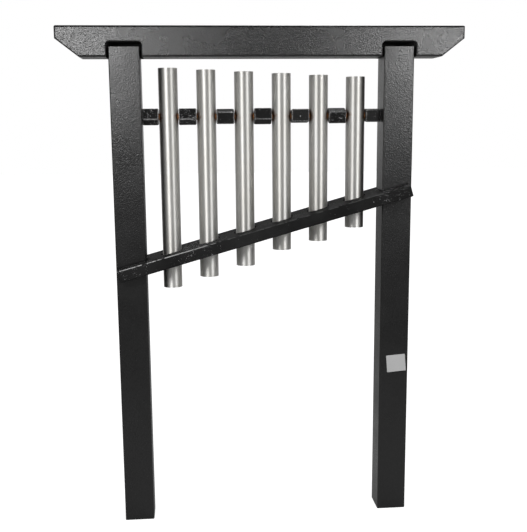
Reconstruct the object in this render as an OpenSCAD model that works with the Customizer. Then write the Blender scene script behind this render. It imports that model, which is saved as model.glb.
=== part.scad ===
// Outdoor chime frame: six tuned metal tubes hang on one rod between two square
// posts, and pass through a sloping rail that steadies their lower halves.
// X runs along the frame to the right, Y to the back and Z up, in millimetres.
// The origin is on the ground, midway between the posts.

/* [Posts] */
// Width of each post, seen from the front
post_w = 100; // [80:1:140]
// Depth of each post, front to back
post_d = 100; // [80:1:130]
// Length of each post, from its foot to its top
post_h = 1611; // [1500:1:1900]
// Distance between the centre lines of the posts
post_spacing = 895; // [870:1:1100]
// Radius of the posts' long edges
post_edge_r = 5; // [1:0.5:10]

/* [Top beam] */
// Length that the beam stands out past each post
beam_overhang = 167; // [110:1:260]
// Height of the beam
beam_h = 98; // [80:1:140]
// How far the beam stands forward of the posts
beam_front = 4; // [1:0.5:20]
// Thickness of the wall that the beam keeps behind each post
beam_back_wall = 16; // [10:1:40]
// Radius of the beam's edges
beam_edge_r = 7; // [1:0.5:10]
// Height of the upright part of each beam end
beam_end_h = 40; // [20:1:70]
// Length of the sloping cut under each beam end
beam_cut_run = 75; // [30:1:100]
// How far each post reaches up into its pocket
pocket_grip = 32; // [20:1:50]
// Open gap beside the post in its pocket
pocket_side_gap = 6.5; // [2:0.5:20]
// Open gap above the post in its pocket
pocket_top_gap = 16; // [4:0.5:24]
// Radius of the pocket's upper corners
pocket_corner_r = 12; // [4:1:20]
// Chamfer round the mouth of the pocket
pocket_chamfer = 3; // [1:0.5:6]

/* [Sloping rail] */
// Thickness of the rail
rail_t = 39; // [25:1:60]
// Depth of the rail, front to back
rail_d = 200; // [160:1:260]
// Drop from the rod to the rail's centre, midway between the posts
rail_drop = 382; // [350:1:400]
// Slope of the rail, rising to the right
rail_slope = 15.5; // [10:0.5:18]
// How far each rail end stays inside the post's outer face
rail_end_inset = 10; // [4:1:30]
// Radius of the rail's edges
rail_edge_r = 3; // [1:0.5:6]
// Depth of the trench that lets the rail into each post
trench_depth = 5; // [2:0.5:10]
// Open gap that the trench leaves above the rail
trench_gap = 5; // [1:0.5:10]
// How far the trench runs on past the end of the rail
trench_run_out = 3; // [1:0.5:8]
// Open ring between each tube and its hole in the rail
hole_gap = 7; // [4:0.5:9]

/* [Chime tubes] */
// Outer diameter of the tubes
tube_od = 63; // [50:0.5:70]
// Wall thickness of the tubes
tube_wall = 3; // [2:0.25:5]
// Distance between the centre lines of neighbouring tubes
tube_pitch = 124.5; // [112:0.5:130]
// Length of tube 1, which gives the lowest note
tube_1_len = 725; // [700:1:750]
// Length of tube 2
tube_2_len = 685; // [660:1:699]
// Length of tube 3
tube_3_len = 644; // [620:1:659]
// Length of tube 4
tube_4_len = 586; // [560:1:619]
// Length of tube 5
tube_5_len = 552; // [530:1:559]
// Length of tube 6, which gives the highest note
tube_6_len = 502; // [480:1:529]
// Length of tube 1 above the rod
head_len = 156.5; // [130:0.5:175]
// How much shorter each next tube stands above the rod
head_step = 6; // [0:0.5:10]

/* [Hanger rod and spacers] */
// Diameter of the rod
rod_d = 12; // [8:0.5:13]
// Drop from the beam's underside to the rod
rod_drop = 189; // [180:1:260]
// Side of each square spacer block
spacer_w = 42.5; // [30:0.5:60]
// Chamfer on all edges of a spacer block
spacer_chamfer = 3; // [1:0.5:6]
// Running gap at each end of a spacer block
spacer_end_gap = 0.4; // [0.3:0.1:2]
// Turn of spacer 1 about the rod, in degrees
spacer_1_turn = -28; // [-45:1:45]
// Turn of spacer 2 about the rod
spacer_2_turn = -28; // [-45:1:45]
// Turn of spacer 3 about the rod
spacer_3_turn = 15; // [-45:1:45]
// Turn of spacer 4 about the rod
spacer_4_turn = -25; // [-45:1:45]
// Turn of spacer 5 about the rod
spacer_5_turn = -6; // [-45:1:45]
// Turn of spacer 6 about the rod
spacer_6_turn = 18; // [-45:1:45]
// Turn of spacer 7 about the rod
spacer_7_turn = 3; // [-45:1:45]
// Diameter of the bush in the tube wall
bush_d = 16; // [14:0.5:18]
// Diameter of the bush's outer flange
bush_flange_d = 22; // [20:0.5:28]
// Diameter of the bush's inner lip
bush_lip_d = 19; // [17:0.5:25]
// How far the inner lip reaches into the tube
bush_lip_t = 4; // [3:0.5:6]
// How far the bush stands out of the tube's side
bush_proud = 0.8; // [0.5:0.1:2]

/* [Fasteners] */
// Diameter of the counterbore for the rod's nut
counterbore_d = 30; // [26:1:40]
// Outer diameter of the rod's washer
washer_od = 24; // [20:1:25]
// Thickness of the rod's washer
washer_t = 2.5; // [1:0.5:4]
// Size of the rod's nut across its flats
nut_af = 19; // [17:1:21]
// Height of the rod's nut
nut_h = 10; // [6:1:14]
// Length of rod that shows past the nut
rod_tip = 3; // [1:0.5:6]
// Free space between the end of the rod and its plug
plug_gap = 3.5; // [0.5:0.5:10]
// Thickness of the plug that closes the counterbore
plug_t = 5; // [2:0.5:10]
// Diameter of the screws' shanks
screw_d = 6; // [4:0.5:8]
// Diameter of the screws' countersunk heads
screw_head_d = 12; // [9:0.5:14]
// Height of the screws' conical heads
screw_head_h = 4; // [2:0.5:6]
// Width across the flats of the screws' sockets
socket_af = 4; // [3:0.5:4]
// Depth of the screws' sockets
socket_depth = 2; // [1:0.5:3]
// Length of the screws that hold the beam
beam_screw_len = 70; // [50:1:90]
// Length of the screws that hold the rail
rail_screw_len = 110; // [90:1:140]
// Distance between the two screws in each joint
screw_pair = 46; // [30:1:60]

/* [Blank plate] */
// Width of the blank plate on the right post
plate_w = 66; // [30:1:70]
// Height of the blank plate
plate_h = 60; // [30:1:80]
// Thickness of the blank plate
plate_t = 1; // [0.5:0.5:3]
// Height of the blank plate's centre above the ground
plate_z = 539; // [200:1:700]
// How far the blank plate's centre sits right of the post's centre line
plate_right = 8; // [-10:1:9]
// Turn of the blank plate on the post, in degrees
plate_turn = 4.5; // [0:0.5:8]
// Radius of the blank plate's corners
plate_corner_r = 2; // [1:0.5:6]

/* [Hidden] */
$fn = 96;
// Radial clearance of a turning piece on the rod
running_fit = 0.08;
// Clearance of a piece that is pressed or screwed into place
seat_fit = 0.05;
// Clearance between the rail's slots and the trench floors
slot_fit = 0.2;
// Clearance of the rod's washers on the rod
washer_fit = 0.4;
// Extra length of a cutter beyond the face that it cuts
over = 1;
// Length of a cutter that runs right through anything it meets
through = 1000;
// Radius of the screws' blunt tips
screw_tip_r = 0.75;

post_x = post_spacing / 2;
post_in = post_x - post_w / 2;
post_out = post_x + post_w / 2;
beam_d = beam_front + post_d + beam_back_wall;
beam_len = 2 * (post_out + beam_overhang);
beam_y = (beam_back_wall - beam_front) / 2;
beam_z = post_h - pocket_grip;
beam_cut_angle = atan((beam_h - beam_end_h) / beam_cut_run);
beam_cut_edge_r = 0.7 * beam_edge_r;
rod_z = beam_z - rod_drop;
rail_z = rod_z - rail_drop;
pocket_w = post_w + 2 * pocket_side_gap;
pocket_h = pocket_grip + pocket_top_gap;
trench_floor = post_d / 2 - trench_depth;
trench_in = post_in + trench_depth;
rail_len = 2 * (post_out - rail_end_inset) / cos(rail_slope);
trench_len = rail_len + 2 * trench_run_out;
trench_corner_r = rail_edge_r + trench_run_out;
tube_r = tube_od / 2;
tube_in_r = tube_r - tube_wall;
tube_lens = [tube_1_len, tube_2_len, tube_3_len, tube_4_len, tube_5_len, tube_6_len];
tube_count = len(tube_lens);
spacer_turns = [
    spacer_1_turn, spacer_2_turn, spacer_3_turn, spacer_4_turn,
    spacer_5_turn, spacer_6_turn, spacer_7_turn
];
bush_out = tube_r + bush_proud;
rod_r = rod_d / 2;
counterbore_depth = washer_t + nut_h + rod_tip + plug_gap + plug_t;
seat_x = post_out - counterbore_depth;
nut_x = seat_x + washer_t;
rod_half = nut_x + nut_h + rod_tip;

// Centre line of tube n, counted from the left
function tube_x(n) = (n - (tube_count + 1) / 2) * tube_pitch;

// Height of the rail's middle at a distance x from the centre of the frame
function rail_mid(x) = rail_z + x * tan(rail_slope);

// Left and right ends of spacer n: it lies between tube n - 1 and tube n,
// and the first and last spacers lie against a post
function spacer_start(n) = n == 1 ? -post_in : tube_x(n - 1) + bush_out;
function spacer_end(n) = n == tube_count + 1 ? post_in : tube_x(n) - bush_out;

// Rectangle with round corners, centred
module round_rect(a, b, r) {
    square([a - 2 * r, b], center = true);
    square([a, b - 2 * r], center = true);
    for (i = [-1, 1], j = [-1, 1])
        translate([i * (a / 2 - r), j * (b / 2 - r)]) circle(r);
}

// Square with cut corners, centred
module cut_rect(a, b, c) {
    polygon([
        [-a / 2 + c, -b / 2], [a / 2 - c, -b / 2], [a / 2, -b / 2 + c], [a / 2, b / 2 - c],
        [a / 2 - c, b / 2], [-a / 2 + c, b / 2], [-a / 2, b / 2 - c], [-a / 2, -b / 2 + c]
    ]);
}

// Lays an outline drawn in the XZ plane out along Y, centred
module along_y(depth) {
    rotate([90, 0, 0]) linear_extrude(depth, center = true) children();
}

// Lays an outline drawn in the YZ plane out along X, centred
module along_x(length) {
    rotate([90, 0, 90]) linear_extrude(length, center = true) children();
}

// Block with all twelve edges rounded, centred
module round_block(x, y, z, r) {
    intersection() {
        linear_extrude(z, center = true) round_rect(x, y, r);
        along_y(y) round_rect(x, z, r);
        along_x(x) round_rect(y, z, r);
    }
}

// Block with all twelve edges chamfered, centred
module cut_block(x, y, z, c) {
    intersection() {
        linear_extrude(z, center = true) cut_rect(x, y, c);
        along_y(y) cut_rect(x, z, c);
        along_x(x) cut_rect(y, z, c);
    }
}

// Moves pieces drawn along the rail's own axes into their place in the frame
module in_rail_place() {
    translate([0, 0, rail_z]) rotate([0, -rail_slope, 0]) children();
}

// Countersunk screw along -Z with its head's face at the origin, grown by a clearance
module screw_body(length, fit) {
    shank_r = screw_d / 2 + fit;
    translate([0, 0, -screw_head_h]) cylinder(h = screw_head_h, r1 = shank_r, r2 = screw_head_d / 2 + fit);
    translate([0, 0, screw_d - length]) cylinder(h = length - screw_d - screw_head_h + over / 2, r = shank_r);
    translate([0, 0, -length - fit]) cylinder(h = screw_d + fit, r1 = screw_tip_r, r2 = shank_r);
}

module screw(length) {
    difference() {
        screw_body(length, 0);
        translate([0, 0, -socket_depth])
            cylinder(h = socket_depth + over, r = socket_af / sqrt(3), $fn = 6);
    }
}

// Places one screw, or its hole, at each fixing in the beam's back
module at_beam_screws() {
    for (s = [-1, 1], t = [-1, 1])
        translate([s * post_x + t * screw_pair / 2, beam_y + beam_d / 2, beam_z + pocket_grip / 2])
            rotate([-90, 0, 0]) children();
}

// Places one screw, or its hole, at each fixing in the rail's back
module at_rail_screws() {
    for (s = [-1, 1], t = [-1, 1])
        translate([s * post_x + t * screw_pair / 2, rail_d / 2, rail_mid(s * post_x + t * screw_pair / 2)])
            rotate([-90, 0, 0]) children();
}

// Trench round the front, inner side and back of a post that receives the rail
module rail_trench(side) {
    difference() {
        in_rail_place() translate([0, 0, trench_gap / 2])
            along_y(through) round_rect(trench_len, rail_t + trench_gap, trench_corner_r);
        translate([side * (trench_in + through / 2), 0, rail_z])
            cube([through, 2 * trench_floor, through], center = true);
    }
}

// Post: side is -1 for the left one and 1 for the right one
module post(side) {
    difference() {
        translate([side * post_x, 0, 0]) linear_extrude(post_h) round_rect(post_w, post_d, post_edge_r);
        rail_trench(side);
        translate([side * post_x, 0, rod_z]) rotate([0, 90, 0])
            cylinder(h = post_w + 2 * over, r = rod_r + seat_fit, center = true);
        translate([side * (seat_x + through / 2), 0, rod_z]) rotate([0, 90, 0])
            cylinder(h = through, r = counterbore_d / 2, center = true);
        at_beam_screws() screw_body(beam_screw_len, seat_fit);
        at_rail_screws() screw_body(rail_screw_len, seat_fit);
    }
}

module left_post() {
    color("#2b2b2c") post(-1);
}

module right_post() {
    color("#2b2b2c") post(1);
}

// Pocket in the beam that takes a post, open to the front and below
module pocket() {
    straight = pocket_h - pocket_corner_r;
    half = pocket_w / 2 - pocket_corner_r;
    front = -post_d / 2 - beam_front;
    depth = post_d / 2 - front + over;
    translate([0, front - over + depth / 2, beam_z]) along_y(depth) {
        translate([0, (straight - over) / 2]) square([pocket_w, straight + over], center = true);
        translate([0, pocket_h / 2]) square([2 * half, pocket_h], center = true);
        for (i = [-1, 1]) translate([i * half, straight]) circle(pocket_corner_r);
    }
    translate([0, front, beam_z]) {
        for (i = [-1, 1]) translate([0, 0, -over]) linear_extrude(straight + over) polygon([
            [i * pocket_w / 2, -over], [i * (pocket_w / 2 + pocket_chamfer), -over],
            [i * (pocket_w / 2 + pocket_chamfer), 0], [i * pocket_w / 2, pocket_chamfer]
        ]);
        along_x(2 * half) polygon([
            [-over, pocket_h], [-over, pocket_h + pocket_chamfer],
            [0, pocket_h + pocket_chamfer], [pocket_chamfer, pocket_h]
        ]);
        for (i = [-1, 1]) translate([i * half, 0, straight]) rotate([-90, 0, 0])
            cylinder(h = pocket_chamfer, r1 = pocket_corner_r + pocket_chamfer, r2 = pocket_corner_r);
    }
}

// Everything above the sloping cut under one end of the beam. The cut's edges are
// rounded a little less than the beam's other edges
module above_cut(side) {
    translate([side * (beam_len / 2 - beam_cut_run), beam_y, beam_z]) rotate([0, -side * beam_cut_angle, 0])
        translate([0, 0, beam_len]) along_x(4 * beam_len) round_rect(beam_d, 2 * beam_len, beam_cut_edge_r);
}

module top_beam() {
    color("#343436") difference() {
        intersection() {
            translate([0, beam_y, beam_z + beam_h / 2]) round_block(beam_len, beam_d, beam_h, beam_edge_r);
            above_cut(-1);
            above_cut(1);
        }
        for (side = [-1, 1]) translate([side * post_x, 0, 0]) pocket();
        at_beam_screws() screw_body(beam_screw_len, seat_fit);
    }
}

module beam_screws() {
    color("#8c8f92") at_beam_screws() screw(beam_screw_len);
}

// Rail with a slot at each end that straddles a post, and a hole for each tube
module chime_rail() {
    color("#1b1b1c") difference() {
        in_rail_place() round_block(rail_len, rail_d, rail_t, rail_edge_r);
        for (side = [-1, 1])
            translate([side * (trench_in - slot_fit + through / 2), 0, rail_z])
                cube([through, 2 * (trench_floor + slot_fit), through], center = true);
        for (n = [1 : tube_count])
            translate([tube_x(n), 0, rail_z]) cylinder(h = through, r = tube_r + hole_gap, center = true);
        at_rail_screws() screw_body(rail_screw_len, seat_fit);
    }
}

module rail_screws() {
    color("#8c8f92") at_rail_screws() screw(rail_screw_len);
}

module hanger_rod() {
    color("#b4b6b8") translate([0, 0, rod_z]) rotate([0, 90, 0])
        cylinder(h = 2 * rod_half, r = rod_r, center = true);
}

// Ring round the rod that starts at a distance x from the centre of the frame
module rod_ring(side, x, thickness, outer_r, inner_r, sides = $fn) {
    translate([side * x, 0, rod_z]) rotate([0, side * 90, 0]) difference() {
        cylinder(h = thickness, r = outer_r, $fn = sides);
        translate([0, 0, -over]) cylinder(h = thickness + 2 * over, r = inner_r);
    }
}

module rod_washers() {
    color("#a7a9ab") for (side = [-1, 1])
        rod_ring(side, seat_x, washer_t, washer_od / 2, rod_r + washer_fit);
}

module rod_nuts() {
    color("#a7a9ab") for (side = [-1, 1])
        rod_ring(side, nut_x, nut_h, nut_af / sqrt(3), rod_r + seat_fit, 6);
}

module rod_plugs() {
    color("#1d1d1e") for (side = [-1, 1])
        translate([side * (post_out - plug_t), 0, rod_z]) rotate([0, side * 90, 0])
            cylinder(h = plug_t, r = counterbore_d / 2 - seat_fit);
}

// Loose block on the rod that keeps two neighbours apart
module spacer(n) {
    length = spacer_end(n) - spacer_start(n) - 2 * spacer_end_gap;
    middle = (spacer_start(n) + spacer_end(n)) / 2;
    color("#1f1f20") translate([middle, 0, rod_z]) rotate([spacer_turns[n - 1], 0, 0]) difference() {
        cut_block(length, spacer_w, spacer_w, spacer_chamfer);
        rotate([0, 90, 0]) cylinder(h = length + 2 * over, r = rod_r + running_fit, center = true);
    }
}

module chime_tube(n) {
    head = head_len - (n - 1) * head_step;
    length = tube_lens[n - 1];
    color("#b9b5ac") difference() {
        translate([tube_x(n), 0, rod_z + head - length]) linear_extrude(length) difference() {
            circle(tube_r);
            circle(tube_in_r);
        }
        translate([tube_x(n), 0, rod_z]) rotate([0, 90, 0])
            cylinder(h = tube_od + 2 * over, r = bush_d / 2, center = true);
    }
}

// Pair of bushes that line the tube's two side holes and turn on the rod
module tube_bushes(n) {
    color("#7a4a2c") translate([tube_x(n), 0, rod_z]) for (side = [-1, 1]) difference() {
        union() {
            difference() {
                rotate([0, side * 90, 0]) cylinder(h = bush_out, r = bush_flange_d / 2);
                cylinder(h = bush_flange_d + over, r = tube_r + seat_fit, center = true);
            }
            rotate([0, side * 90, 0]) translate([0, 0, tube_in_r - bush_lip_t])
                cylinder(h = bush_out - tube_in_r + bush_lip_t, r = bush_d / 2 - seat_fit);
            intersection() {
                rotate([0, side * 90, 0]) translate([0, 0, tube_in_r - bush_lip_t])
                    cylinder(h = bush_lip_t, r = bush_lip_d / 2);
                cylinder(h = bush_flange_d + over, r = tube_in_r - seat_fit, center = true);
            }
        }
        rotate([0, side * 90, 0]) cylinder(h = tube_od, r = rod_r + running_fit);
    }
}

module blank_plate() {
    color("#c8c8c6") translate([post_x + plate_right, -post_d / 2 - plate_t / 2, plate_z]) rotate([0, -plate_turn, 0])
        along_y(plate_t) round_rect(plate_w, plate_h, plate_corner_r);
}

left_post();
right_post();
top_beam();
beam_screws();
chime_rail();
rail_screws();
hanger_rod();
rod_washers();
rod_nuts();
rod_plugs();
spacer(1);  // spacer_1
spacer(2);  // spacer_2
spacer(3);  // spacer_3
spacer(4);  // spacer_4
spacer(5);  // spacer_5
spacer(6);  // spacer_6
spacer(7);  // spacer_7
chime_tube(1);  // chime_tube_1
chime_tube(2);  // chime_tube_2
chime_tube(3);  // chime_tube_3
chime_tube(4);  // chime_tube_4
chime_tube(5);  // chime_tube_5
chime_tube(6);  // chime_tube_6
tube_bushes(1);  // tube_bushes_1
tube_bushes(2);  // tube_bushes_2
tube_bushes(3);  // tube_bushes_3
tube_bushes(4);  // tube_bushes_4
tube_bushes(5);  // tube_bushes_5
tube_bushes(6);  // tube_bushes_6
blank_plate();
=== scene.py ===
import math

import bmesh
import bpy
from mathutils import Matrix, Vector, noise


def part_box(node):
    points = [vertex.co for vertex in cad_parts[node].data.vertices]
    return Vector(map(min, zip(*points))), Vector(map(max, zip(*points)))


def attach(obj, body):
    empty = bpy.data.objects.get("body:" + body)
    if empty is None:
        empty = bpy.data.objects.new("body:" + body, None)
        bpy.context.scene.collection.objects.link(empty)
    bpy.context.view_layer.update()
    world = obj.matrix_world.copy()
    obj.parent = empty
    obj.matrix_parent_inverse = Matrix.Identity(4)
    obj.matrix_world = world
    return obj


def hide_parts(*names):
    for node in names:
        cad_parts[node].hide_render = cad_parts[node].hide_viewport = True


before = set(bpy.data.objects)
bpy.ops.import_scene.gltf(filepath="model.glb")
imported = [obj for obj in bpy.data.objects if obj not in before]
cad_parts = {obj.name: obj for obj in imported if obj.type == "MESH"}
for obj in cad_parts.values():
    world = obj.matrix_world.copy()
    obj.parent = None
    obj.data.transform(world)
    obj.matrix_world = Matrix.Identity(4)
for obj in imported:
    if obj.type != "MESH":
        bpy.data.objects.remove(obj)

for spare in ("Cube", "Light", "Camera"):
    if spare in bpy.data.objects:
        bpy.data.objects.remove(bpy.data.objects[spare])

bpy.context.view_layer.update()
scene = bpy.context.scene


# ---------------------------------------------------------------- node helpers

# The colour sockets of a Mix node, by number, because their names repeat
MIX_FACTOR = 0
MIX_FIRST = 6
MIX_SECOND = 7
MIX_RESULT = 2


def feed(tree, value, socket):
    """Links another socket to this one, or gives it a number or colour of its own."""
    if isinstance(value, bpy.types.NodeSocket):
        tree.links.new(socket, value)
    else:
        socket.default_value = value


def place(tree, kind, values=(), **settings):
    """Adds a node with its settings, and feeds its sockets by name or number."""
    made = tree.nodes.new(kind)
    for name, value in settings.items():
        setattr(made, name, value)
    for socket, value in dict(values).items():
        feed(tree, value, made.inputs[socket])
    return made


def arithmetic(tree, operation, *values, clamp=False):
    """A Math node on sockets or numbers; returns its result."""
    made = place(
        tree, "ShaderNodeMath", enumerate(values), operation=operation, use_clamp=clamp,
    )
    return made.outputs["Value"]


def vector_arithmetic(tree, operation, values):
    """A Vector Math node on sockets or vectors; returns its vector."""
    return place(tree, "ShaderNodeVectorMath", values, operation=operation).outputs["Vector"]


def length_of(tree, vector):
    made = place(tree, "ShaderNodeVectorMath", {0: vector}, operation="LENGTH")
    return made.outputs["Value"]


def remap(tree, value, low, high, to_low=0.0, to_high=1.0):
    """Eases from one level to the other as the value goes from low to high."""
    made = place(
        tree, "ShaderNodeMapRange", {0: value, 1: low, 2: high, 3: to_low, 4: to_high},
        interpolation_type="SMOOTHSTEP",
    )
    return made.outputs["Result"]


def noise_field(tree, vector, scale, detail, roughness):
    values = {"Vector": vector, "Scale": scale, "Detail": detail, "Roughness": roughness}
    return place(tree, "ShaderNodeTexNoise", values).outputs["Fac"]


def stretched(tree, vector, scale):
    """The same coordinates with each axis scaled."""
    made = place(tree, "ShaderNodeMapping", {"Vector": vector, "Scale": scale})
    return made.outputs["Vector"]


def axes(tree, vector):
    """The X, Y and Z of some coordinates."""
    return place(tree, "ShaderNodeSeparateXYZ", {"Vector": vector}).outputs


def mix_colour(tree, factor, first, second):
    made = place(
        tree, "ShaderNodeMix", {MIX_FACTOR: factor, MIX_FIRST: first, MIX_SECOND: second},
        data_type="RGBA",
    )
    return made.outputs[MIX_RESULT]


def grey(level, red=0.0, blue=0.0):
    """A linear colour near neutral."""
    return (level * (1 + red), level, level * (1 + blue), 1.0)


# ---------------------------------------------------------------- shared effects

def start_group(name, numbers, results):
    """A node group that takes coordinates and named numbers; returns it with its two ends."""
    tree = bpy.data.node_groups.new(name, "ShaderNodeTree")
    tree.interface.new_socket("Vector", in_out="INPUT", socket_type="NodeSocketVector")
    for title, usual in numbers.items():
        made = tree.interface.new_socket(title, in_out="INPUT", socket_type="NodeSocketFloat")
        made.default_value = usual
    for title in results:
        tree.interface.new_socket(title, in_out="OUTPUT", socket_type="NodeSocketFloat")
    given = place(tree, "NodeGroupInput").outputs
    wanted = place(tree, "NodeGroupOutput").inputs
    return tree, given, wanted


# Wrinkled skin: how its cells are bent out of line, and what each layer adds to its height
SKIN_BEND_SCALE = 90.0
SKIN_BEND_REACH = 0.006
SKIN_CELL_SMOOTHNESS = 0.6
SKIN_CELL_HEIGHT = 0.7
SKIN_FINE_SCALE = 1.1
SKIN_FINE_HEIGHT = 1.2
SKIN_TONE_SCALE = 7.0


def build_leathery_skin():
    """The fine wrinkled skin of moulded plastic: its height and a slow change of tone."""
    tree, given, wanted = start_group("leathery_skin", {"Wrinkle Size": 0.006}, ("Height", "Tone"))
    vector = given["Vector"]
    scale = arithmetic(tree, "DIVIDE", 1.0, given["Wrinkle Size"])
    bend = place(
        tree, "ShaderNodeTexNoise", {"Vector": vector, "Detail": 2.0, "Scale": SKIN_BEND_SCALE},
    )
    both_ways = vector_arithmetic(tree, "SUBTRACT", {0: bend.outputs["Color"], 1: (0.5, 0.5, 0.5)})
    push = vector_arithmetic(tree, "SCALE", {0: both_ways, "Scale": SKIN_BEND_REACH})
    cells = place(
        tree, "ShaderNodeTexVoronoi",
        {
            "Vector": vector_arithmetic(tree, "ADD", {0: vector, 1: push}),
            "Scale": scale,
            "Smoothness": SKIN_CELL_SMOOTHNESS,
            "Randomness": 1.0,
        },
        feature="SMOOTH_F1",
    )
    fine_scale = arithmetic(tree, "MULTIPLY", scale, SKIN_FINE_SCALE)
    fine = noise_field(tree, vector, fine_scale, 3.0, 0.6)
    coarse = arithmetic(tree, "MULTIPLY", cells.outputs["Distance"], SKIN_CELL_HEIGHT)
    feed(tree, arithmetic(tree, "MULTIPLY_ADD", fine, SKIN_FINE_HEIGHT, coarse), wanted["Height"])
    slow = noise_field(tree, vector, SKIN_TONE_SCALE, 3.0, 0.55)
    feed(tree, remap(tree, slow, 0.3, 0.7), wanted["Tone"])
    return tree


# Pale specks: the noise level where they start and are full, how they gather, and their pits
SPECK_START = 0.74
SPECK_FULL = 0.80
SPECK_DISTORTION = 0.6
GATHER_SCALE = 55.0
GATHER_PULL = 0.3
PIT_SCALE = 0.55
PIT_FLOOR = 0.12
PIT_RIM = 0.34


def build_pale_specks():
    """Pale grains and short scuffs of other plastic caught in recycled plastic, and its pits."""
    tree, given, wanted = start_group(
        "pale_specks", {"Spacing": 0.004, "Share": 0.12}, ("Mask", "Pits"),
    )
    vector = given["Vector"]
    scale = arithmetic(tree, "DIVIDE", 1.0, given["Spacing"])
    grains = place(
        tree, "ShaderNodeTexNoise",
        {
            "Vector": vector,
            "Scale": scale,
            "Detail": 4.0,
            "Roughness": 0.7,
            "Distortion": SPECK_DISTORTION,
        },
    )
    patches = noise_field(tree, vector, GATHER_SCALE, 3.0, 0.6)
    raised = arithmetic(tree, "ADD", grains.outputs["Fac"], given["Share"])
    gathered = arithmetic(tree, "MULTIPLY_ADD", patches, GATHER_PULL, -GATHER_PULL / 2)
    level = arithmetic(tree, "ADD", raised, gathered)
    feed(tree, remap(tree, level, SPECK_START, SPECK_FULL), wanted["Mask"])
    pit_scale = arithmetic(tree, "MULTIPLY", scale, PIT_SCALE)
    pits = place(
        tree, "ShaderNodeTexVoronoi", {"Vector": vector, "Scale": pit_scale}, feature="F1",
    )
    feed(tree, remap(tree, pits.outputs["Distance"], PIT_FLOOR, PIT_RIM), wanted["Pits"])
    return tree


# Painted highlight line: the scales of its ragged rim and of its breaks
RAGGED_SCALE = 420.0
BREAK_SCALE = 45.0


def build_painted_highlight_line():
    """A broken pale line painted along an edge as a highlight, from the distance to that edge."""
    tree, given, wanted = start_group("worn_line", {"Distance": 0.0, "Width": 0.003}, ("Mask",))
    ragged = noise_field(tree, given["Vector"], RAGGED_SCALE, 4.0, 0.65)
    breaks = noise_field(tree, given["Vector"], BREAK_SCALE, 3.0, 0.6)
    both = arithmetic(tree, "MULTIPLY", ragged, remap(tree, breaks, 0.3, 0.55, 0.35, 1.6))
    reach = arithmetic(tree, "MULTIPLY", given["Width"], arithmetic(tree, "MULTIPLY", both, 2.0))
    ratio = arithmetic(tree, "DIVIDE", given["Distance"], reach)
    feed(tree, remap(tree, ratio, 0.6, 1.1, 1.0, 0.0), wanted["Mask"])
    return tree


skin_group = build_leathery_skin()
speck_group = build_pale_specks()
highlight_line_group = build_painted_highlight_line()


def effect(tree, group, **values):
    """Places a shared effect and feeds its sockets; an underscore stands for a space."""
    made = place(tree, "ShaderNodeGroup", node_tree=group)
    for name, value in values.items():
        feed(tree, value, made.inputs[name.replace("_", " ")])
    return made.outputs


# ---------------------------------------------------------------- materials

PLASTIC_IOR = 1.5


def start_material(name, **values):
    """A material, its tree, its shader's sockets with their constants, and Object coordinates."""
    made = bpy.data.materials.new(name)
    made.use_nodes = True
    tree = made.node_tree
    shader = tree.nodes["Principled BSDF"].inputs
    for socket, value in values.items():
        shader[socket.replace("_", " ")].default_value = value
    where = place(tree, "ShaderNodeTexCoord").outputs["Object"]
    return made, tree, shader, where


def bump(tree, shader, height, distance):
    made = place(tree, "ShaderNodeBump", {"Height": height, "Distance": distance})
    feed(tree, made.outputs["Normal"], shader["Normal"])


# The few specks in moulded plastic
MOULDED_SPECK_SPACING = 0.0035
MOULDED_SPECK_SHARE = 0.02
MOULDED_SPECK_COLOUR = grey(0.12)


def moulded_plastic(name, base, relief, wrinkle, gloss, sheen, rough_at=None):
    """Black recycled plastic with a leathery moulded skin, as on the posts and the top beam."""
    made, tree, shader, where = start_material(name, IOR=PLASTIC_IOR, Specular_IOR_Level=sheen)
    skin = effect(tree, skin_group, Vector=where, Wrinkle_Size=wrinkle)
    specks = effect(
        tree, speck_group, Vector=where, Spacing=MOULDED_SPECK_SPACING, Share=MOULDED_SPECK_SHARE,
    )
    tone = mix_colour(tree, skin["Tone"], grey(base * 0.8), grey(base * 1.25, 0.02, 0.03))
    faint = arithmetic(tree, "MULTIPLY", specks["Mask"], 0.5)
    feed(tree, mix_colour(tree, faint, tone, MOULDED_SPECK_COLOUR), shader["Base Color"])
    roughness = remap(tree, skin["Tone"], 0.0, 1.0, gloss - 0.03, gloss + 0.04)
    if rough_at is not None:
        roughness = arithmetic(tree, "MAXIMUM", roughness, rough_at(tree, where))
    feed(tree, roughness, shader["Roughness"])
    bump(tree, shader, skin["Height"], relief)
    return made


# Where the sawn finish of the beam's pockets fades out: sideways from a post's middle, and
# inwards from the beam's front, back and top
POCKET_SIDE = (0.058, 0.060)
POCKET_FRONT = (0.008, 0.016)
POCKET_BACK = (0.012, 0.008)
POCKET_TOP = (0.02, 0.01)
POCKET_ROUGHNESS = 0.95


def sawn_pocket(tree, where):
    """The pockets that take the posts are cut rough, so their walls stay dull."""
    beam_low, beam_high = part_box("top_beam")
    post_low, post_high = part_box("right_post")
    post_middle = (post_low.x + post_high.x) / 2
    at = axes(tree, where)
    from_middle = arithmetic(tree, "ABSOLUTE", at["X"])
    off_post = arithmetic(tree, "ABSOLUTE", arithmetic(tree, "SUBTRACT", from_middle, post_middle))
    beside = remap(tree, off_post, *POCKET_SIDE, 1.0, 0.0)
    behind = remap(tree, at["Y"], *(beam_low.y + inset for inset in POCKET_FRONT))
    ahead = remap(tree, at["Y"], *(beam_high.y - inset for inset in POCKET_BACK), 1.0, 0.0)
    below = remap(tree, at["Z"], *(beam_high.z - inset for inset in POCKET_TOP), 1.0, 0.0)
    front_side = arithmetic(tree, "MULTIPLY", beside, behind)
    back_side = arithmetic(tree, "MULTIPLY", ahead, below)
    inside = arithmetic(tree, "MULTIPLY", front_side, back_side)
    return arithmetic(tree, "MULTIPLY", inside, POCKET_ROUGHNESS)


SAWN_WRINKLE = 0.005
SAWN_SPECK_COLOUR = grey(0.55, 0.01, 0.02)
SAWN_HIGHLIGHT_COLOUR = grey(0.42)


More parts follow.
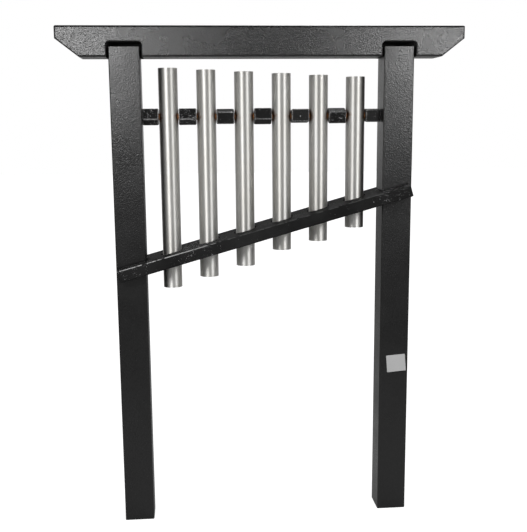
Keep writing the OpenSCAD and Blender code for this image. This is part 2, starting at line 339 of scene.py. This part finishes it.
def sawn_plastic(name, base, sheen, spacing, share_at, relief, edges):
    """Black recycled plastic with a rough, pitted face, pale specks and a highlight painted where
    edges says, as on the rail and blocks.
    """
    made, tree, shader, where = start_material(name, IOR=PLASTIC_IOR, Specular_IOR_Level=sheen)
    specks = effect(tree, speck_group, Vector=where, Spacing=spacing, Share=share_at(tree, where))
    skin = effect(tree, skin_group, Vector=where, Wrinkle_Size=SAWN_WRINKLE)
    tone = mix_colour(tree, skin["Tone"], grey(base * 0.7), grey(base * 1.4))
    flecked = mix_colour(tree, specks["Mask"], tone, SAWN_SPECK_COLOUR)
    # Where edges gives its mask, a highlight is painted in a paler grey.
    highlighted = mix_colour(tree, edges(tree, where), flecked, SAWN_HIGHLIGHT_COLOUR)
    feed(tree, highlighted, shader["Base Color"])
    feed(tree, remap(tree, skin["Tone"], 0.0, 1.0, 0.46, 0.58), shader["Roughness"])
    wrinkles = arithmetic(tree, "MULTIPLY", skin["Height"], 0.6)
    bump(tree, shader, arithmetic(tree, "ADD", specks["Pits"], wrinkles), relief)
    return made


def block_edge_highlight(tree, where):
    """A highlight painted on the corners of a block, from the highlight mask that its mesh carries.
    """
    highlighted = place(tree, "ShaderNodeAttribute", attribute_name="edge_highlight_mask").outputs["Fac"]
    broken = noise_field(tree, where, 260.0, 4.0, 0.7)
    return arithmetic(tree, "MULTIPLY", highlighted, remap(tree, broken, 0.4, 0.6, 0.1, 1.0))


# Painted brown reflection of the bushes on the tubes: full and gone at these distances from the rod,
# and its waver
REFLECTION_FULL = 0.004
REFLECTION_GONE = 0.020
REFLECTION_WAVER = 0.018
REFLECTION_STRENGTH = 0.85


def painted_bush_reflection(tree, where):
    """A brown reflection of the bushes painted on the sides of a tube round them, by the distance to
    the rod.
    """
    rod_low, rod_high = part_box("hanger_rod")
    rod = (rod_low + rod_high) / 2
    flattened = stretched(tree, where, (0.0, 1.0, 1.0))
    across = vector_arithmetic(tree, "SUBTRACT", {0: flattened, 1: (0.0, rod.y, rod.z)})
    cloudy = noise_field(tree, where, 90.0, 3.0, 0.6)
    reach = arithmetic(tree, "MULTIPLY_ADD", cloudy, -REFLECTION_WAVER, length_of(tree, across))
    return remap(tree, reach, REFLECTION_FULL, REFLECTION_GONE, REFLECTION_STRENGTH, 0.0)


TUBE_CLEAN = (0.97, 0.965, 0.945, 1)
TUBE_DULL = (0.88, 0.865, 0.825, 1)
TUBE_LINES = (0.80, 0.79, 0.75, 1)
TUBE_BUSH_REFLECTION = (0.42, 0.17, 0.06, 1)


def drawn_tube_metal():
    """Bright aluminium tube: fine rings draw each light into a tall stripe, over faint long lines."""
    made, tree, shader, where = start_material(
        "tube_metal", Metallic=1.0, Roughness=0.64, Anisotropic=0.95, Anisotropic_Rotation=0.25,
    )
    lines = noise_field(tree, stretched(tree, where, (420.0, 420.0, 0.4)), 1.0, 2.0, 0.5)
    dull = noise_field(tree, stretched(tree, where, (30.0, 30.0, 5.0)), 1.0, 4.0, 0.6)
    metal = mix_colour(tree, remap(tree, dull, 0.35, 0.7), TUBE_CLEAN, TUBE_DULL)
    lined = mix_colour(tree, remap(tree, lines, 0.35, 0.75, 0.0, 0.5), metal, TUBE_LINES)
    # A brown reflection of the bushes is painted onto the tube round the rod.
    with_reflection = mix_colour(tree, painted_bush_reflection(tree, where), lined, TUBE_BUSH_REFLECTION)
    feed(tree, with_reflection, shader["Base Color"])
    grain = place(tree, "ShaderNodeTangent", direction_type="RADIAL", axis="Z")
    feed(tree, grain.outputs["Tangent"], shader["Tangent"])
    return made


def plain_steel(name, level, roughness, lines):
    """Bright steel with fine lines that run along the axes scaled least."""
    made, tree, shader, where = start_material(name, Metallic=1.0)
    grain = noise_field(tree, stretched(tree, where, lines), 1.0, 3.0, 0.6)
    colour = mix_colour(tree, grain, grey(level * 0.8), grey(level, 0.0, 0.01))
    feed(tree, colour, shader["Base Color"])
    feed(tree, remap(tree, grain, 0.3, 0.7, roughness, roughness + 0.1), shader["Roughness"])
    bump(tree, shader, grain, 0.00005)
    return made


def brown_rubber():
    made, tree, shader, where = start_material("bush_rubber", IOR=PLASTIC_IOR)
    cloudy = noise_field(tree, where, 220.0, 3.0, 0.6)
    colour = mix_colour(tree, cloudy, (0.30, 0.11, 0.03, 1), (0.46, 0.20, 0.06, 1))
    feed(tree, colour, shader["Base Color"])
    feed(tree, remap(tree, cloudy, 0.3, 0.7, 0.5, 0.65), shader["Roughness"])
    bump(tree, shader, cloudy, 0.0001)
    return made


def smooth_cap_plastic(name, dark, pale, roughness):
    """Plain moulded plastic with a faint satin grain."""
    made, tree, shader, where = start_material(name, IOR=1.46)
    grain = noise_field(tree, where, 900.0, 3.0, 0.6)
    cloud = noise_field(tree, where, 25.0, 3.0, 0.6)
    feed(tree, mix_colour(tree, cloud, grey(dark), grey(pale)), shader["Base Color"])
    feed(tree, remap(tree, cloud, 0.3, 0.7, roughness, roughness + 0.08), shader["Roughness"])
    bump(tree, shader, grain, 0.00006)
    return made


# The rail's slope, its thickness square to that slope, and the width of the highlight painted along
# its front top edge
RAIL_SLOPE = math.radians(15.5)
RAIL_THICKNESS = 0.039
RAIL_HIGHLIGHT_WIDTH = 0.0019
rail_low, rail_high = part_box("chime_rail")


def rail_edge_highlight(tree, where):
    """A highlight painted along the front top edge of the rail, strongest at its low end."""
    rail_middle = (rail_low + rail_high) / 2
    level = place(
        tree, "ShaderNodeVectorRotate",
        {"Vector": where, "Center": rail_middle, "Angle": RAIL_SLOPE}, rotation_type="Y_AXIS",
    )
    at = axes(tree, level.outputs["Vector"])
    below_top = arithmetic(tree, "SUBTRACT", rail_middle.z + RAIL_THICKNESS / 2, at["Z"])
    behind_front = arithmetic(tree, "SUBTRACT", at["Y"], rail_low.y)
    distance = arithmetic(tree, "ADD", below_top, behind_front)
    line = effect(tree, highlight_line_group, Vector=where, Distance=distance, Width=RAIL_HIGHLIGHT_WIDTH)
    fade = remap(tree, at["X"], -0.30, -0.10, 1.0, 0.12)
    return arithmetic(tree, "MULTIPLY", line["Mask"], fade)


# Scuffs on the rail: where those of its ends start and are full, and the patch on its lower part
END_SCUFF_START = 0.34
END_SCUFF_FULL = 0.42
PATCH_X = -0.22
PATCH_CORE = 0.03
PATCH_REACH = 0.12


def rail_specks(tree, where):
    """The rail is scuffed most at its two ends and a third of the way up."""
    at = axes(tree, where)
    low_end = remap(tree, at["X"], -END_SCUFF_FULL, -END_SCUFF_START, 0.05, 0.0)
    high_end = remap(tree, at["X"], END_SCUFF_START, END_SCUFF_FULL, 0.0, 0.07)
    from_patch = arithmetic(tree, "ABSOLUTE", arithmetic(tree, "SUBTRACT", at["X"], PATCH_X))
    patch = remap(tree, from_patch, PATCH_CORE, PATCH_REACH, 0.07, 0.0)
    on_top = remap(tree, at["Y"], rail_low.y + 0.003, rail_low.y + 0.005, 0.04, 0.08)
    ends = arithmetic(tree, "ADD", low_end, high_end)
    return arithmetic(tree, "ADD", arithmetic(tree, "ADD", ends, patch), on_top)


def even_specks(share):
    """The same share of specks all over a piece."""
    return lambda tree, where: share


finishes = {
    "post_plastic": moulded_plastic(
        "post_plastic", base=0.003, relief=0.00048, wrinkle=0.0038, gloss=0.30, sheen=0.55,
    ),
    "beam_plastic": moulded_plastic(
        "beam_plastic", base=0.0038, relief=0.00078, wrinkle=0.0042, gloss=0.26, sheen=0.64,
        rough_at=sawn_pocket,
    ),
    "rail_plastic": sawn_plastic(
        "rail_plastic", base=0.015, sheen=0.02, spacing=0.0036, share_at=rail_specks,
        relief=0.0004, edges=rail_edge_highlight,
    ),
    "tube_metal": drawn_tube_metal(),
    "rod_steel": plain_steel("rod_steel", 0.55, 0.28, (900.0, 60.0, 60.0)),
    "fastener_steel": plain_steel("fastener_steel", 0.50, 0.30, (300.0, 900.0, 900.0)),
    "bush_rubber": brown_rubber(),
    "plug_plastic": smooth_cap_plastic("plug_plastic", 0.014, 0.022, 0.45),
    "plate_plastic": smooth_cap_plastic("plate_plastic", 0.50, 0.53, 0.42),
}
speckled_block = sawn_plastic(
    "block_plastic_speckled", base=0.006, sheen=0.16, spacing=0.0045, share_at=even_specks(0.13),
    relief=0.0005, edges=block_edge_highlight,
)
plain_block = sawn_plastic(
    "block_plastic", base=0.006, sheen=0.16, spacing=0.0045, share_at=even_specks(0.07),
    relief=0.0004, edges=block_edge_highlight,
)

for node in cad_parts.values():
    for index, used in enumerate(node.data.materials):
        slot = used.name.split(".")[0] if used else None
        if slot in finishes:
            node.data.materials[index] = finishes[slot]


# ---------------------------------------------------------------- spacer blocks

SPACER_WIDTH = 0.0425
SPACER_CHAMFER = 0.0045
ROD_BORE = 0.0122
BORE_SIDES = 48
BLOCK_CUTS = 26
SHARP_ANGLE = 1.0
TOLERANCE = 1e-5

# Fine roughness and broader dents of a block's skin: their seed, scales, and how far they reach
SKIN_SEED = 7
ROUGH_SCALE = 420.0
ROUGH_REACH = 0.00022
DENT_SCALE = 130.0
DENT_REACH = 0.0005
FACE_PULL = 0.25


def make_object(name, work, material):
    """Turns the mesh being worked on into an object in the scene."""
    mesh = bpy.data.meshes.new(name)
    work.to_mesh(mesh)
    work.free()
    mesh.materials.append(material)
    made = bpy.data.objects.new(name, mesh)
    scene.collection.objects.link(made)
    return made


def bored_block(length):
    """A square bar along Z with a round bore, chamfered outside and cut into slices."""
    half = SPACER_WIDTH / 2
    work = bmesh.new()
    bmesh.ops.create_circle(work, cap_ends=False, radius=ROD_BORE / 2, segments=BORE_SIDES)
    grown = bmesh.ops.extrude_edge_only(work, edges=work.edges[:])["geom"]
    for vert in (item for item in grown if isinstance(item, bmesh.types.BMVert)):
        vert.co *= half / max(abs(vert.co.x), abs(vert.co.y))
    grown = bmesh.ops.extrude_face_region(work, geom=work.faces[:])["geom"]
    lifted = [item for item in grown if isinstance(item, bmesh.types.BMVert)]
    bmesh.ops.translate(work, verts=lifted, vec=(0, 0, length))
    bmesh.ops.translate(work, verts=work.verts, vec=(0, 0, -length / 2))
    outer = [
        edge for edge in work.edges
        if len(edge.link_faces) == 2 and edge.calc_face_angle() > SHARP_ANGLE
        and all(max(abs(vert.co.x), abs(vert.co.y)) > half - TOLERANCE for vert in edge.verts)
    ]
    bmesh.ops.bevel(
        work, geom=outer, offset=SPACER_CHAMFER, offset_type="OFFSET", segments=3, profile=0.5,
        affect="EDGES", material=-1,
    )
    lengthwise = [
        edge for edge in work.edges
        if abs((edge.verts[0].co - edge.verts[1].co).z) > length / 2
    ]
    bmesh.ops.subdivide_edges(work, edges=lengthwise, cuts=BLOCK_CUTS, use_grid_fill=True)
    return work


def mark_edge_highlight(work, length, highlight_level):
    """Marks the chamfered corners and end rims of a block for a painted highlight."""
    highlight_layer = work.verts.layers.float.new("edge_highlight_mask")
    inset = SPACER_CHAMFER * 0.75
    flat = SPACER_WIDTH / 2 - inset
    for vert in work.verts:
        nearer, farther = sorted((abs(vert.co.x), abs(vert.co.y)))
        on_end = abs(vert.co.z) > length / 2 - inset and farther > flat
        # Chamfers and end rims get the strength of the painted highlight; flat faces get none.
        vert[highlight_layer] = highlight_level if nearer > flat or on_end else 0.0


def roughen(work, length, seed, chips):
    """Roughens and dents the outer skin of a block, most along its corners; the bore stays true."""
    half = SPACER_WIDTH / 2
    for vert in work.verts:
        if math.hypot(vert.co.x, vert.co.y) < ROD_BORE / 2 + TOLERANCE:
            continue
        rough = noise.noise_vector(vert.co * ROUGH_SCALE + seed) * ROUGH_REACH
        dent = noise.noise(vert.co * DENT_SCALE + seed) * DENT_REACH
        off_x = abs(abs(vert.co.x) - half)
        off_y = abs(abs(vert.co.y) - half)
        on_corner = max(off_x, off_y) < SPACER_CHAMFER - TOLERANCE
        pull = chips if on_corner else FACE_PULL
        inwards = Vector((vert.co.x, vert.co.y, 0)).normalized()
        vert.co += rough * pull - inwards * (abs(dent) * pull)
        vert.co.z = max(-length / 2, min(length / 2, vert.co.z))


def spacer_block(number, turn, material, chips, highlight_level):
    """A sawn block, turned about the rod, with a highlight painted on its chamfers and a rough skin.
    """
    low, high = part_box(f"spacer_{number}")
    length = high.x - low.x
    work = bored_block(length)
    mark_edge_highlight(work, length, highlight_level)
    roughen(work, length, Vector((number * 7.3, number * 3.1, 0.0)), chips)
    bmesh.ops.transform(work, matrix=Matrix.Rotation(math.pi / 2, 4, "Y"), verts=work.verts)
    bmesh.ops.rotate(work, verts=work.verts, matrix=Matrix.Rotation(turn, 3, "X"))
    bmesh.ops.translate(work, verts=work.verts, vec=(low + high) / 2)
    bmesh.ops.recalc_face_normals(work, faces=work.faces)
    piece = make_object(f"block_{number}_worn", work, material)
    piece.data.shade_flat()
    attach(piece, f"block_{number}")
    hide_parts(f"spacer_{number}")


# Each block's turn in degrees, material, chipping, and the strength of the highlight painted on its
# chamfers, from the left post
blocks = (
    (-28, speckled_block, 1.6, 0.6),
    (-28, speckled_block, 1.3, 0.6),
    (15, plain_block, 1.0, 0.6),
    (-25, plain_block, 1.1, 0.5),
    (-6, plain_block, 1.2, 0.6),
    (18, speckled_block, 1.0, 0.4),
    (3, plain_block, 1.0, 0.4),
)
noise.seed_set(SKIN_SEED)
for number, (angle, material, chips, highlight_level) in enumerate(blocks, start=1):
    spacer_block(number, math.radians(angle), material, chips, highlight_level)


# ---------------------------------------------------------------- stage, lights, camera

FLOOR_SIZE = 40

# Levels of the surroundings: as the camera sees them, in mirror rays, and in soft bounced light
FLOOR_NEAR_LEVEL = 0.80
FLOOR_FAR_LEVEL = 0.95
FLOOR_MIRRORED = 0.02
FLOOR_BOUNCED = 0.0
SKY_LEVEL = 1.0
SKY_MIRRORED = 0.62
SKY_BOUNCED = 0.30
SKY_CEILING_SHARE = 0.12


def seen_level(tree, straight, mirrored, bounced):
    """Camera and see-through rays, mirror rays and soft bounced light each get their own level."""
    rays = place(tree, "ShaderNodeLightPath").outputs
    direct = arithmetic(tree, "MAXIMUM", rays["Is Camera Ray"], rays["Is Transmission Ray"])
    shown = arithmetic(tree, "MULTIPLY", direct, straight)
    glossy = arithmetic(tree, "MULTIPLY", rays["Is Glossy Ray"], mirrored)
    known = arithmetic(tree, "ADD", direct, rays["Is Glossy Ray"])
    others = arithmetic(tree, "SUBTRACT", 1.0, known, clamp=True)
    rest = arithmetic(tree, "MULTIPLY", others, bounced)
    return arithmetic(tree, "ADD", arithmetic(tree, "ADD", shown, glossy), rest)


def floor_material():
    """A plain pale floor that glows a little more with distance."""
    made, tree, shader, where = start_material(
        "studio_floor", Roughness=0.9, Base_Color=grey(0.65), Emission_Color=grey(1.0),
    )
    glow = remap(tree, length_of(tree, where), 0.8, 3.0, FLOOR_NEAR_LEVEL, FLOOR_FAR_LEVEL)
    level = seen_level(tree, glow, FLOOR_MIRRORED, FLOOR_BOUNCED)
    feed(tree, level, shader["Emission Strength"])
    return made


def make_floor():
    work = bmesh.new()
    bmesh.ops.create_grid(work, x_segments=1, y_segments=1, size=FLOOR_SIZE / 2)
    plate = make_object("studio_floor", work, floor_material())


def make_world():
    """A white room whose ceiling is darker to mirror rays."""
    world = bpy.data.worlds.new("studio_world")
    scene.world = world
    world.use_nodes = True
    sky = world.node_tree
    background = sky.nodes["Background"].inputs
    background["Color"].default_value = grey(1.0)
    heading = axes(sky, place(sky, "ShaderNodeTexCoord").outputs["Generated"])
    below_ceiling = remap(sky, heading["Z"], 0.14, 0.5, 1.0, SKY_CEILING_SHARE)
    room = arithmetic(sky, "MULTIPLY", below_ceiling, SKY_MIRRORED)
    feed(sky, seen_level(sky, SKY_LEVEL, room, SKY_BOUNCED), background["Strength"])


make_floor()
make_world()

LAMP_AIM = Vector((0, 0, 1.0))


def softbox(name, centre, size, watts):
    """A square lamp aimed at the tubes."""
    light = bpy.data.lights.new(name, "AREA")
    light.shape = "SQUARE"
    light.size = size
    light.energy = watts
    lamp = bpy.data.objects.new(name, light)
    lamp.location = centre
    way = LAMP_AIM - Vector(centre)
    lamp.rotation_euler = way.to_track_quat("-Z", "Y").to_euler()
    scene.collection.objects.link(lamp)


softbox("left_softbox", (-0.84, -1.40, 1.78), 0.50, 16)
softbox("right_softbox", (1.10, -1.40, 1.77), 0.50, 15)
softbox("back_softbox", (0.50, 1.30, 3.20), 0.90, 14)

# The camera: its place, and how far it is turned right, up and clockwise
CAMERA_PLACE = (-0.25579, -2.93218, 1.37900)
CAMERA_YAW = math.radians(4.947)
CAMERA_PITCH = math.radians(-10.191)
CAMERA_ROLL = math.radians(-0.462)


def aim_camera():
    """Puts the camera in its place and returns its lens settings."""
    forward = Vector((
        math.sin(CAMERA_YAW) * math.cos(CAMERA_PITCH),
        math.cos(CAMERA_YAW) * math.cos(CAMERA_PITCH),
        math.sin(CAMERA_PITCH),
    ))
    right = Vector((math.cos(CAMERA_YAW), -math.sin(CAMERA_YAW), 0))
    up = right.cross(forward)
    side = right * math.cos(CAMERA_ROLL) + up * math.sin(CAMERA_ROLL)
    top = up * math.cos(CAMERA_ROLL) - right * math.sin(CAMERA_ROLL)
    turn = Matrix((side, top, -forward)).transposed()
    camera = bpy.data.objects.new("camera", bpy.data.cameras.new("camera"))
    camera.matrix_world = Matrix.Translation(CAMERA_PLACE) @ turn.to_4x4()
    scene.collection.objects.link(camera)
    scene.camera = camera
    return camera.data


lens = aim_camera()
lens.sensor_width = 36
lens.lens = 58.84
lens.shift_x = 0.0002
lens.shift_y = 0.0184
lens.clip_end = 100

scene.view_settings.view_transform = "Standard"
